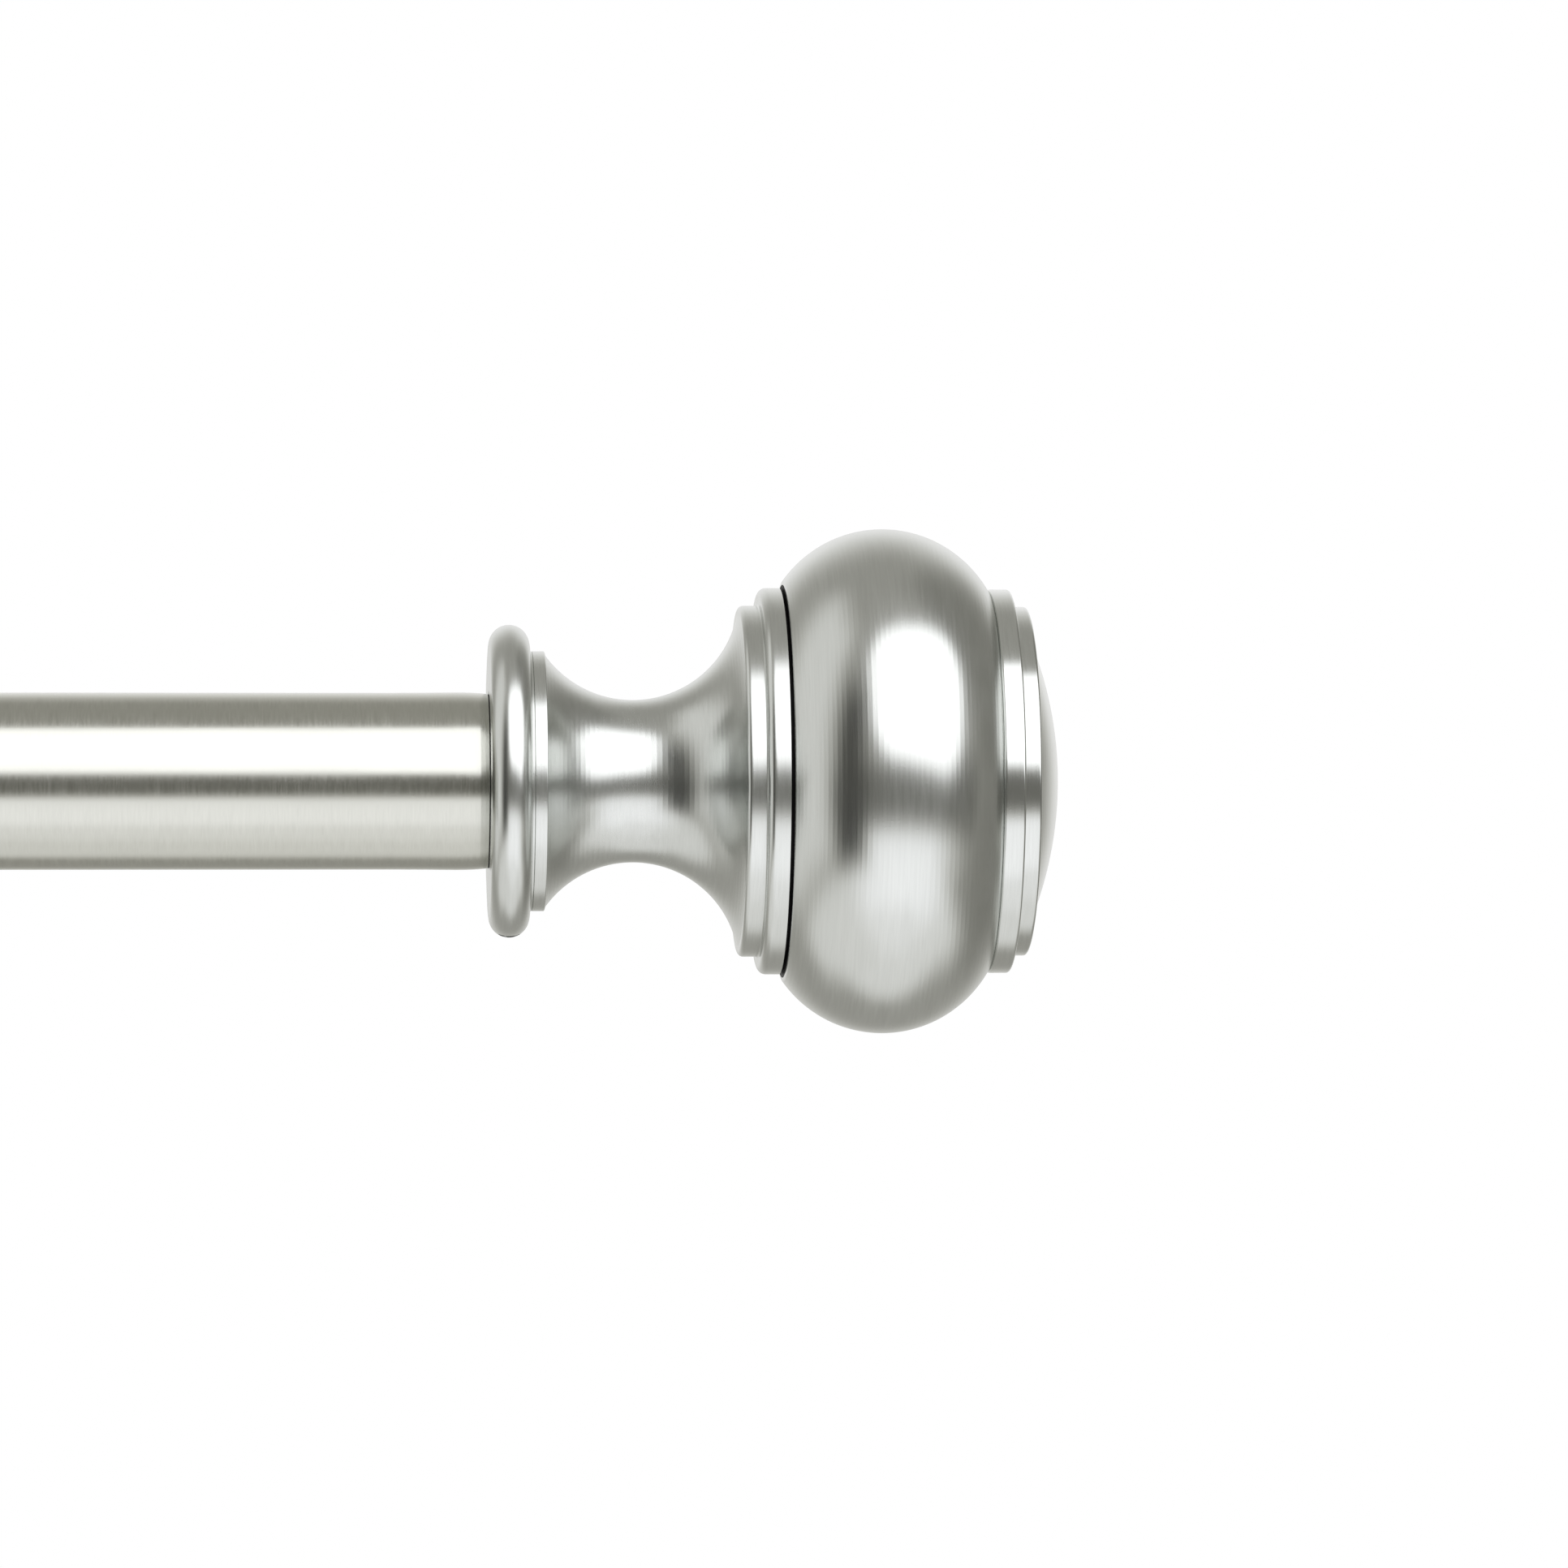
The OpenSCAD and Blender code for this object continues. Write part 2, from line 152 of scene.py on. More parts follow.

# The painted shade in the joint between neck and knob: how far it stays inside the lip, and how flat the
# knob's face is
JOINT_INSET = 0.1
JOINT_FLAT = 0.01

# The knob's eased front rim: distance past its front face, and height below the sharp corner
KNOB_RIM = [(0, 0.35), (0.03, 0.18)]
KNOB_RIM_END = 0.12


# ---------------------------------------------------------------- outlines

def sweep(centre, radius, start, turn, count):
    """count + 1 points of an arc that starts at an angle and turns on; both in radians."""
    points = []
    for i in range(count + 1):
        angle = start + turn * i / count
        points.append((centre[0] + radius * math.cos(angle), centre[1] + radius * math.sin(angle)))
    return points


def arc(centre, radius, start, end, step):
    """Points of an arc in the plane of distance and radius; degrees turn from the distance axis."""
    count = max(2, math.ceil(abs(end - start) / step))
    return sweep(centre, radius, math.radians(start), math.radians(end - start), count)


def half_chord(radius, distance):
    return math.sqrt(radius * radius - distance * distance)


def degrees_along(distance, radius):
    """The angle on a circle, from its top, of the point that lies this far along from its middle."""
    return math.degrees(math.asin(distance / radius))


def unit(a, b):
    """(direction from a to b, distance)"""
    dx = b[0] - a[0]
    dy = b[1] - a[1]
    length = math.hypot(dx, dy)
    return (dx / length, dy / length), length


def fillet(before, corner, after, radius):
    """The corner between two straight stretches, as an arc of that radius or of the largest that fits."""
    back, back_len = unit(corner, before)
    ahead, ahead_len = unit(corner, after)
    cosine = max(-1.0, min(1.0, back[0] * ahead[0] + back[1] * ahead[1]))
    half = math.acos(cosine) / 2
    tangent = min(radius / math.tan(half), FILLET_SHARE * back_len, FILLET_SHARE * ahead_len)
    radius = tangent * math.tan(half)
    middle = (back[0] + ahead[0], back[1] + ahead[1])
    size = math.hypot(*middle)
    reach = radius / math.sin(half)
    centre = (corner[0] + middle[0] / size * reach, corner[1] + middle[1] / size * reach)
    first = (corner[0] + back[0] * tangent, corner[1] + back[1] * tangent)
    last = (corner[0] + ahead[0] * tangent, corner[1] + ahead[1] * tangent)
    start = math.atan2(first[1] - centre[1], first[0] - centre[0])
    turn = math.atan2(last[1] - centre[1], last[0] - centre[0]) - start
    turn = (turn + math.pi) % (2 * math.pi) - math.pi
    count = max(2, math.ceil(math.degrees(abs(turn)) / FILLET_STEP))
    return sweep(centre, radius, start, turn, count)


def outline(*items, closed=True):
    """A line of points from corners (distance, radius, rounding) and ready-made arcs (lists of points).

    A closed one runs back to its first point. Straight stretches get a support point near each end, so
    that their shading stays flat.
    """
    corners = []
    for item in items:
        if isinstance(item, list):
            corners += [(point[0], point[1], 0.0) for point in item]
        else:
            corners.append(item if len(item) == 3 else (item[0], item[1], 0.0))
    rounded = []
    for i, corner in enumerate(corners):
        if corner[2] > 0:
            rounded += fillet(corners[i - 1], corner, corners[(i + 1) % len(corners)], corner[2])
        else:
            rounded.append(corner[:2])
    points = []
    for i, point in enumerate(rounded):
        points.append(point)
        if not closed and i == len(rounded) - 1:
            break
        after = rounded[(i + 1) % len(rounded)]
        if math.dist(point, after) > SUPPORT_LEAST:
            along = unit(point, after)[0]
            points.append((point[0] + along[0] * SUPPORT, point[1] + along[1] * SUPPORT))
            points.append((after[0] - along[0] * SUPPORT, after[1] - along[1] * SUPPORT))
    return points


# ---------------------------------------------------------------- nodes

# The range in which most of a noise lies, and the least radius in metres that a lathe pattern divides by
NOISE_RANGE = (0.3, 0.7)
LEAST_RADIUS = 0.0005


class Graph:
    """The nodes of one material or world, with short ways to add to them."""

    def __init__(self, tree):
        self.nodes = tree.nodes
        self.links = tree.links

    def feed(self, socket, value):
        """Links another node's output to a socket, or sets the socket to a value."""
        if isinstance(value, bpy.types.NodeSocket):
            self.links.new(value, socket)
        else:
            socket.default_value = value

    def maths(self, operation, *values):
        node = self.nodes.new("ShaderNodeMath")
        node.operation = operation
        for socket, value in zip(node.inputs, values):
            self.feed(socket, value)
        return node.outputs[0]

    def add(self, first, second):
        return self.maths("ADD", first, second)

    def subtract(self, first, second):
        return self.maths("SUBTRACT", first, second)

    def multiply(self, first, second):
        return self.maths("MULTIPLY", first, second)

    def length(self, first, second):
        """The length of the vector with these two parts"""
        return self.maths("SQRT", self.add(self.multiply(first, first), self.multiply(second, second)))

    def blend(self, share, first, second):
        """The first number where the share is 0, and the second where it is 1"""
        return self.add(first, self.multiply(share, self.subtract(second, first)))

    def remap(self, value, low, high, to_low, to_high, smooth=False):
        """Takes the range from low to high over to another range, and stops at its ends."""
        node = self.nodes.new("ShaderNodeMapRange")
        if smooth:
            node.interpolation_type = "SMOOTHSTEP"
        self.feed(node.inputs["Value"], value)
        for name, number in (("From Min", low), ("From Max", high), ("To Min", to_low), ("To Max", to_high)):
            node.inputs[name].default_value = number
        return node.outputs["Result"]

    def smooth_edge(self, value, edge, softness):
        """1 below the edge and 0 above it"""
        return self.remap(value, edge - softness, edge + softness, 1, 0, smooth=True)

    def spread(self, noise, to_low, to_high):
        """Takes the range in which most of a noise lies over to another range."""
        return self.remap(noise, *NOISE_RANGE, to_low, to_high)

    def noise(self, vector, scale, detail=2.0, roughness=0.5):
        node = self.nodes.new("ShaderNodeTexNoise")
        node.inputs["Scale"].default_value = scale
        node.inputs["Detail"].default_value = detail
        node.inputs["Roughness"].default_value = roughness
        self.links.new(vector, node.inputs["Vector"])
        return node.outputs["Fac"]

    def mix_colour(self, share, first, second):
        node = self.nodes.new("ShaderNodeMix")
        node.data_type = "RGBA"
        node.inputs["A"].default_value = (*first, 1)
        node.inputs["B"].default_value = (*second, 1)
        self.links.new(share, node.inputs["Factor"])
        return node.outputs["Result"]

    def coordinates(self, kind):
        return self.nodes.new("ShaderNodeTexCoord").outputs[kind]

    def parts(self, vector):
        """The x, y and z of a vector"""
        node = self.nodes.new("ShaderNodeSeparateXYZ")
        self.links.new(vector, node.inputs[0])
        return node.outputs

    def lathe_vector(self, axis, centre, fine_scale, round_scale):
        """A vector for noise on a turned piece: fine along the axis and outwards, stretched around it."""
        x, y, z = self.parts(self.coordinates("Object"))
        if axis == "X":
            along, first, second = x, (y, centre[1]), (z, centre[2])
        else:
            along, first, second = y, (x, centre[0]), (z, centre[2])
        u = self.subtract(*first)
        v = self.subtract(*second)
        radius = self.length(u, v)
        # Sine and cosine of the angle instead of the angle itself, so that the pattern has no seam
        vector = self.nodes.new("ShaderNodeCombineXYZ")
        fine = self.add(self.multiply(along, fine_scale), self.multiply(radius, fine_scale))
        self.links.new(fine, vector.inputs[0])
        for slot, part in ((1, u), (2, v)):
            share = self.maths("DIVIDE", part, self.maths("MAXIMUM", radius, LEAST_RADIUS))
            self.links.new(self.multiply(share, round_scale), vector.inputs[slot])
        return vector.outputs[0]

    def bump(self, shader, height, distance, strength):
        node = self.nodes.new("ShaderNodeBump")
        node.inputs["Distance"].default_value = distance
        node.inputs["Strength"].default_value = strength
        self.links.new(height, node.inputs["Height"])
        self.links.new(node.outputs["Normal"], shader.inputs["Normal"])


# ---------------------------------------------------------------- materials

# Nickel: dark and light of the brushed lines, and how much of them is hair lines and broader strands
NICKEL = ((0.615, 0.628, 0.605), (0.675, 0.689, 0.666))
HAIR_SHARE = 0.65
STRAND_SHARE = 0.35

# How far its roughness changes in the cloudy sheen and from line to line, and where and how far specks rise
CLOUD_CHANGE = 0.02
LINE_CHANGE = 0.045
SPECK_RANGE = (0.66, 0.8)
SPECK_RISE = 0.9

# How dark the clouds are in the plain metals and plastics, and how far their roughness changes: times this
# in the metals, and this much up and down in the plastics
METAL_CLOUD = 0.82
METAL_CHANGE = (0.8, 1.2)
PLASTIC_CLOUD = 0.9
PLASTIC_CHANGE = 0.05


def new_material(name):
    """(material, its nodes, its shader)"""
    material = bpy.data.materials.new(name)
    material.use_nodes = True
    graph = Graph(material.node_tree)
    return material, graph, graph.nodes["Principled BSDF"]


def satin_nickel(name, axis, centre, roughness, brushing=1.0, tone=(1, 1, 1)):
    """Nickel plate over metal brushed round an axis: fine hair lines, cloudy sheen and tiny specks."""
    material, graph, shader = new_material(name)
    shader.inputs["Metallic"].default_value = 1.0
    hair_vector = graph.lathe_vector(axis, centre, fine_scale=5200, round_scale=5)
    hairs = graph.noise(hair_vector, scale=1.0, detail=3.0, roughness=0.6)
    strand_vector = graph.lathe_vector(axis, centre, fine_scale=900, round_scale=3)
    strands = graph.noise(strand_vector, scale=1.0, detail=2.0, roughness=0.55)
    place = graph.coordinates("Object")
    clouds = graph.noise(place, scale=38, detail=3.0, roughness=0.55)
    specks = graph.noise(place, scale=2600, detail=1.0, roughness=0.4)
    lines = graph.add(graph.multiply(hairs, HAIR_SHARE), graph.multiply(strands, STRAND_SHARE))
    low, high = (tuple(channel * share for channel, share in zip(colour, tone)) for colour in NICKEL)
    graph.feed(shader.inputs["Base Color"], graph.mix_colour(graph.spread(lines, 0, 1), low, high))
    cloudy = graph.spread(clouds, roughness - CLOUD_CHANGE, roughness + CLOUD_CHANGE)
    scratchy = graph.spread(lines, -LINE_CHANGE * brushing, LINE_CHANGE * brushing)
    graph.feed(shader.inputs["Roughness"], graph.add(cloudy, scratchy))
    height = graph.add(graph.multiply(lines, brushing), graph.remap(specks, *SPECK_RANGE, 0, SPECK_RISE))
    graph.bump(shader, height, distance=0.000004, strength=0.55)
    return material


def plain_metal(name, colour, roughness, grain):
    """Zinc plate, black oxide, turned aluminium and the painted shade in the joints: cloudy, slightly grainy
    metal.
    """
    material, graph, shader = new_material(name)
    shader.inputs["Metallic"].default_value = 1.0
    place = graph.coordinates("Object")
    clouds = graph.noise(place, scale=160, detail=4.0, roughness=0.6)
    fine = graph.noise(place, scale=1900)
    dark = tuple(channel * METAL_CLOUD for channel in colour)
    graph.feed(shader.inputs["Base Color"], graph.mix_colour(graph.spread(clouds, 0, 1), dark, colour))
    cloudy = graph.spread(clouds, *(roughness * change for change in METAL_CHANGE))
    graph.feed(shader.inputs["Roughness"], cloudy)
    graph.bump(shader, fine, distance=0.000006 * grain, strength=0.5)
    return material


def moulded_plastic(name, colour, roughness):
    """Plastic with faint clouds and the fine grain of its mould."""
    material, graph, shader = new_material(name)
    place = graph.coordinates("Object")
    fine = graph.noise(place, scale=1400)
    clouds = graph.noise(place, scale=90)
    dark = tuple(channel * PLASTIC_CLOUD for channel in colour)
    graph.feed(shader.inputs["Base Color"], graph.mix_colour(clouds, dark, colour))
    grainy = graph.spread(fine, roughness - PLASTIC_CHANGE, roughness + PLASTIC_CHANGE)
    graph.feed(shader.inputs["Roughness"], grainy)
    graph.bump(shader, fine, distance=0.00001, strength=0.4)
    return material


def centre_of(node):
    low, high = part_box(node)
    return (Vector(low) + Vector(high)) / 2


ROD_CENTRE = centre_of("outer_tube")
CUTTER_PLAIN = bpy.data.materials.new("plain")
ROD_METAL = satin_nickel("rod_nickel", "X", ROD_CENTRE, 0.21, tone=(0.915, 0.9, 0.855))
NECK_METAL = satin_nickel("neck_nickel_brushed", "X", ROD_CENTRE, 0.25, brushing=0.3)
KNOB_METAL = satin_nickel("knob_nickel_brushed", "X", ROD_CENTRE, 0.235, brushing=0.4)
CAP_METAL = satin_nickel("cap_nickel_brushed", "X", ROD_CENTRE, 0.18, brushing=0.4)
ZINC = plain_metal("zinc_plate", (0.62, 0.62, 0.6), 0.3, grain=1.0)
BLACK = plain_metal("black_oxide", (0.05, 0.05, 0.055), 0.4, grain=1.0)
ALUMINIUM = plain_metal("turned_aluminium", (0.72, 0.72, 0.73), 0.3, grain=0.6)
# Near-black metal that is painted shade, on faces in the finial's joint and in the ring's shadow on the tube
JOINT_PAINTED_SHADE = plain_metal("joint_painted_shade", (0.03, 0.03, 0.03), 0.6, grain=1.0)
GLIDE = moulded_plastic("glide_plastic_grey", (0.16, 0.16, 0.17), 0.42)
NYLON = moulded_plastic("nylon_white", (0.78, 0.78, 0.74), 0.45)
BRACKET_METAL = {
    side: satin_nickel(f"{side}_bracket_brushed", "Y", centre_of(f"{side}_arm_sleeve"), 0.23, brushing=0.4)
    for side in SIDES
}


# ---------------------------------------------------------------- meshes

def tidy_mesh(obj):
    """Outward faces, and shading that breaks only at true corners."""
    bpy.context.view_layer.objects.active = obj
    for other in bpy.context.selected_objects:
        other.select_set(False)
    obj.select_set(True)
    bpy.ops.object.mode_set(mode="EDIT")
    bpy.ops.mesh.select_all(action="SELECT")
    bpy.ops.mesh.normals_make_consistent(inside=False)
    bpy.ops.object.mode_set(mode="OBJECT")
    obj.data.polygons.foreach_set("use_smooth", [True] * len(obj.data.polygons))
    obj.data.set_sharp_from_angle(angle=SHARP_ANGLE)
    obj.select_set(False)


def add_object(name, vertices, faces, material):
    """A new object from vertices in mm, with a tidy mesh."""
    mesh = bpy.data.meshes.new(name)
    mesh.from_pydata([tuple(v * MM for v in point) for point in vertices], [], faces)
    mesh.validate()
    mesh.update()
    obj = bpy.data.objects.new(name, mesh)
    bpy.context.scene.collection.objects.link(obj)
    mesh.materials.append(material)
    tidy_mesh(obj)
    return obj


def turned(name, points, origin, axis, material, cuts=RING_CUTS):
    """A solid turned about the axis through origin (mm).

    An outline that starts and ends on the axis is closed there by one point at each end.
    """
    along = Vector(axis).normalized()
    side = Vector((0, 0, 1)) if abs(along.z) < 0.9 else Vector((1, 0, 0))
    up = (side - along * side.dot(along)).normalized()
    across = along.cross(up)
    base = Vector(origin)
    poles = points[0][1] < ON_AXIS and points[-1][1] < ON_AXIS
    ring_points = points[1:-1] if poles else points
    vertices = []
    for distance, radius in ring_points:
        for cut in range(cuts):
            angle = 2 * math.pi * cut / cuts
            outwards = up * math.cos(angle) + across * math.sin(angle)
            vertices.append(base + along * distance + outwards * radius)
    faces = []
    rings = len(ring_points)
    for ring in range(rings - 1 if poles else rings):
        here = ring * cuts
        there = (ring + 1) % rings * cuts
        for cut in range(cuts):
            after = (cut + 1) % cuts
            faces.append((here + cut, here + after, there + after, there + cut))
    if poles:
        for index, (distance, _) in ((0, points[0]), (rings - 1, points[-1])):
            pole = len(vertices)
            vertices.append(base + along * distance)
            start = index * cuts
            faces += [(start + cut, start + (cut + 1) % cuts, pole) for cut in range(cuts)]
    return add_object(name, vertices, faces, material)


def drill(obj, start, direction, length, radius):
    """Cuts a round hole into obj."""
    points = [(0, 0), (0, radius), (length, radius), (length, 0)]
    cutter = turned("cutter", points, start, direction, CUTTER_PLAIN, HOLE_CUTS)
    modifier = obj.modifiers.new("cut", "BOOLEAN")
    modifier.operation = "DIFFERENCE"
    modifier.solver = "EXACT"
    modifier.object = cutter
    bpy.context.view_layer.objects.active = obj
    bpy.ops.object.modifier_apply(modifier=modifier.name)
    bpy.data.objects.remove(cutter)
    tidy_mesh(obj)


def paint_shade(obj, origin, axis, start, end, reach):
    """Painted shade: a near-black, dull metal on the faces between two distances along the axis and within a
    radius (mm).
    """
    obj.data.materials.append(JOINT_PAINTED_SHADE)
    index = len(obj.data.materials) - 1
    for face in obj.data.polygons:
        place = Vector(face.center) / MM - Vector(origin)
        distance = place.dot(Vector(axis))
        radius = (place - Vector(axis) * distance).length
        if start <= distance <= end and radius <= reach:
            face.material_index = index


def stand_for(obj, node, body):
    """obj is shown in place of a CAD node and rides on its body."""
    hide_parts(node)
    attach(obj, body)


# ---------------------------------------------------------------- rod

def x_range(node):
    """Where a node starts and ends along X (mm)"""
    low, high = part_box(node)
    return low[0] / MM, high[0] / MM


def tube_radius(node):
    low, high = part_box(node)
    return (high[2] - low[2]) / 2 / MM


ROD_Y = ROD_CENTRE.y / MM
ROD_Z = ROD_CENTRE.z / MM
ROD_R = tube_radius("outer_tube")
INNER_R = tube_radius("inner_tube")


def make_outer_tube():
    """The tube swells a little before the ring and is rolled in at its end, with painted shade on the
    stretch that the ring shadows.
    """
    start, end = x_range("outer_tube")
    ring = x_range("right_finial_neck")[0] - start
    length = end - start
    roll = [(ring + past, ROD_R + height) for past, height in TUBE_ROLL]
    points = outline(
        (0, ROD_R - TUBE_MOUTH_DROP), (TUBE_MOUTH_LENGTH, ROD_R, TUBE_MOUTH_ROUND),
        roll,
        (length, ROD_R - TUBE_END_DROP, TUBE_EDGE), (length, ROD_R - TUBE_WALL), (0, ROD_R - TUBE_WALL),
    )
    origin = (start, ROD_Y, ROD_Z)
    tube = turned("outer_tube_brushed", points, origin, ALONG_X, ROD_METAL)
    # Painted shade on the stretch next to the ring, where the ring shadows the tube
    paint_shade(tube, origin, ALONG_X, roll[-2][0], roll[-1][0], ROD_R)
    stand_for(tube, "outer_tube", "outer_rod")


def make_inner_tube():
    start, end = x_range("inner_tube")
    length = end - start
    points = outline(
        (0, INNER_R, TUBE_EDGE), (length, INNER_R, TUBE_EDGE),
        (length, INNER_R - TUBE_WALL), (0, INNER_R - TUBE_WALL),
    )
    tube = turned("inner_tube_brushed", points, (start, ROD_Y, ROD_Z), ALONG_X, ROD_METAL)
    stand_for(tube, "inner_tube", "inner_rod")


def make_glide_bush():
    """The plastic bush in the outer tube's mouth, with its flange outside."""
    start, end = x_range("glide_bush")
    bore = INNER_R + BUSH_GAP
    flange = x_range("outer_tube")[0] - start
    points = outline(
        (0, bore, BUSH_EDGE), (0, ROD_R, BUSH_ROUND),
        (flange, ROD_R, BUSH_EDGE), (flange, ROD_R - TUBE_WALL),
        (end - start, ROD_R - TUBE_WALL), (end - start, bore),
    )
    bush = turned("glide_bush_moulded", points, (start, ROD_Y, ROD_Z), ALONG_X, GLIDE)
    stand_for(bush, "glide_bush", "outer_rod")


# ---------------------------------------------------------------- finials

def finial_place(side):
    """(origin in mm, axis) of a finial: the middle of its ring's face, and the way out from the rod"""
    low, high = x_range(f"{side}_finial_neck")
    if side == "right":
        return (low, ROD_Y, ROD_Z), (1, 0, 0)
    return (high, ROD_Y, ROD_Z), (-1, 0, 0)


def neck_outline():
    """Ring, collar, hollow neck and two steps, with the rod's socket and the core inside."""
    bead = RING_W / 2
    socket = ROD_R + SOCKET_GAP
    cove_centre = (WAIST_AT, WAIST_R + COVE_R)
    cove_start = 270 - degrees_along(WAIST_AT - COLLAR_END, COVE_R)
    cove_end = 270 + degrees_along(STEP_AT - WAIST_AT, COVE_R)
    core_bend = COVE_R + CORE_WALL
    core_start = 360 - degrees_along(cove_centre[1] - CORE_R, core_bend)
    core_end = 270 + degrees_along(CORE_START - WAIST_AT, core_bend)
    core_face = NECK_END - CORE_WALL
    return outline(
        (SOCKET_DEPTH, socket), (SOCKET_CHAMFER, socket), (0, socket + SOCKET_CHAMFER, SOCKET_EDGE),
        arc((bead, RING_R - bead), bead, 180, 0, BEAD_STEP),
        (RING_W, COLLAR_R, COLLAR_CORNER),
        (GROOVE_AT - GROOVE, COLLAR_R), (GROOVE_AT, COLLAR_R - 2 * GROOVE), (GROOVE_AT + GROOVE, COLLAR_R),
        (COLLAR_END, COLLAR_R, COLLAR_ROUND),
        arc(cove_centre, COVE_R, cove_start, cove_end, COVE_STEP),
        (STEP_AT, STEP_R, STEP_ROUND), (LIP_AT, STEP_R, LIP_CORNER), (LIP_AT, LIP_R, STEP_ROUND),
        (NECK_END, LIP_R, LIP_EDGE), (NECK_END, SEAT_R), (KNOB_START, SEAT_R),
        (KNOB_START, SEAT_HOLE_R), (core_face, SEAT_HOLE_R), (core_face, CORE_R),
        arc(cove_centre, core_bend, core_start, core_end, CORE_STEP),
        (CORE_START, STUD_R), (SOCKET_DEPTH, STUD_R),
    )


def knob_outline():
    """A spun shell with a flat web in front and an open back, where the cap goes in."""
    centre = (KNOB_AT, KNOB_R - KNOB_ROUND_R)
    inner = KNOB_ROUND_R - KNOB_WALL
    start = 90 - degrees_along(KNOB_START + KNOB_RIM_END - KNOB_AT, KNOB_ROUND_R)
    end = 90 - degrees_along(CAP_AT - KNOB_AT, KNOB_ROUND_R)
    web = KNOB_START + KNOB_WEB
    inner_start = 90 - degrees_along(CAP_AT - KNOB_AT, inner)
    inner_end = 90 - degrees_along(web - KNOB_AT, inner)
    corner = centre[1] + half_chord(KNOB_ROUND_R, KNOB_START - KNOB_AT)
    rim = [(KNOB_START + past, corner - drop) for past, drop in KNOB_RIM]
    return outline(
        (KNOB_START, STUD_HOLE_R),
        rim,
        arc(centre, KNOB_ROUND_R, start, end, KNOB_STEP),
        arc(centre, inner, inner_start, inner_end, CORE_STEP),
        (web, STUD_HOLE_R),
    )


def cap_outline():
    """Boss and spigot inside the knob; outside, two steps and a low dome."""
    mouth = KNOB_R - KNOB_ROUND_R + half_chord(KNOB_ROUND_R - KNOB_WALL, CAP_AT - KNOB_AT)
    spigot = mouth - CAP_SPIGOT_GAP
    plate = CAP_FACE_AT - CAP_PLATE
    dome_r = (DOME_EDGE_R ** 2 + DOME_H ** 2) / (2 * DOME_H)
    apex = CAP_FACE_AT + DOME_H
    return outline(
        (CAP_AT - CAP_BOSS_H, 0), (CAP_AT - CAP_BOSS_H, CAP_BOSS_R), (plate, CAP_BOSS_R),
        (plate, spigot - CAP_SPIGOT_WALL), (CAP_AT - CAP_SPIGOT_H, spigot - CAP_SPIGOT_WALL),
        (CAP_AT - CAP_SPIGOT_H, spigot, CAP_SPIGOT_EDGE), (CAP_AT, spigot),
        (CAP_AT, CAP_R, CAP_ROUND), (CAP_STEP_AT, CAP_R, CAP_ROUND), (CAP_STEP_AT, CAP_STEP_R, CAP_CORNER),
        (CAP_FACE_AT, CAP_STEP_R, CAP_ROUND),
        arc((apex - dome_r, 0), dome_r, degrees_along(DOME_EDGE_R, dome_r), 0, DOME_STEP),
        closed=False,
    )


def make_finial(side):
    """Neck, knob and cap, with a drilled hole for the headless screw and painted shade on the faces in the
    joint.
    """
    origin, axis = finial_place(side)
    neck = turned(f"{side}_neck_turned", neck_outline(), origin, axis, NECK_METAL)
    tilt = math.radians(SET_SCREW_TURN)
    down = Vector((0, -math.sin(tilt), -math.cos(tilt)))
    middle = Vector(origin) + Vector(axis) * (RING_W / 2)
    drill(neck, middle, down, RING_R + DRILL_PAST, SET_SCREW_HOLE_R)
    # Painted shade on the neck's faces in the narrow gap between neck and knob
    paint_shade(neck, origin, axis, NECK_END, KNOB_START, LIP_R - JOINT_INSET)
    stand_for(neck, f"{side}_finial_neck", f"{side}_finial")
    knob = turned(f"{side}_knob_spun", knob_outline(), origin, axis, KNOB_METAL)
    # Painted shade on the knob's flat front face in the same gap
    paint_shade(knob, origin, axis, KNOB_START - JOINT_FLAT, KNOB_START + JOINT_FLAT, LIP_R)
    stand_for(knob, f"{side}_finial_knob", f"{side}_finial")
    cap = turned(f"{side}_cap_turned", cap_outline(), origin, axis, CAP_METAL)
    stand_for(cap, f"{side}_finial_cap", f"{side}_finial")


# ---------------------------------------------------------------- stage

# Floor (metres)
FLOOR_Z = -0.9
FLOOR_SIDE = 40

# Floor and walls are white behind the set and go over to a pale grey in front of it, so that the bright
# edges also show when it is seen from behind. The fade is by the Y of the direction out from the set.
PALE = 0.8
PALE_FADE = (-0.5, -0.1)

# The studio around the set: brightness, then middle, half-width and softness of the edge in degrees,
# first round the compass (0 is in front, plus is to the right), then up and down. Later panels cover
# earlier ones.
ROOM_LEVEL = 0.38
STUDIO = [
    ("table", 0.93, (0, 181, 1), (-90, 48, 8)),
    ("table_behind", 0.38, (172, 55, 25), (-42.5, 19.5, 9)),
    ("table_left", 0.88, (-80, 45, 12), (-58, 24, 7)),
    ("back_wall", 1.0, (176, 28, 16), (14, 26, 22)),
    ("left_wall", 0.86, (-94, 28, 14), (17, 44, 10)),
    ("right_dark", 0.25, (112, 28, 16), (15, 55, 12)),
    ("table_front", 1.06, (4, 52, 26), (-62, 22, 12)),
    ("front_table", 1.28, (10, 47, 25), (-40, 19, 6)),
    ("front_dark", 0.155, (24, 58, 6), (-4.7, 12.2, 5.5)),
    ("flag_low", 0.03, (-46, 15, 9), (-16, 18, 9)),
    ("flag_high", 0.05, (-44, 13, 9), (14, 27, 15)),
]

# The softbox: compass direction, height and roll in degrees, then its edges, corners and softness on a
# plane one metre away
SOFTBOX_LEVEL = 1.9
SOFTBOX_AIM = (23, 33, -11)
SOFTBOX_ACROSS = (-0.83, 0.94)
SOFTBOX_UPRIGHT = (-0.493, 0.85)
SOFTBOX_CORNER = 0.42
SOFTBOX_SOFTNESS = 0.09

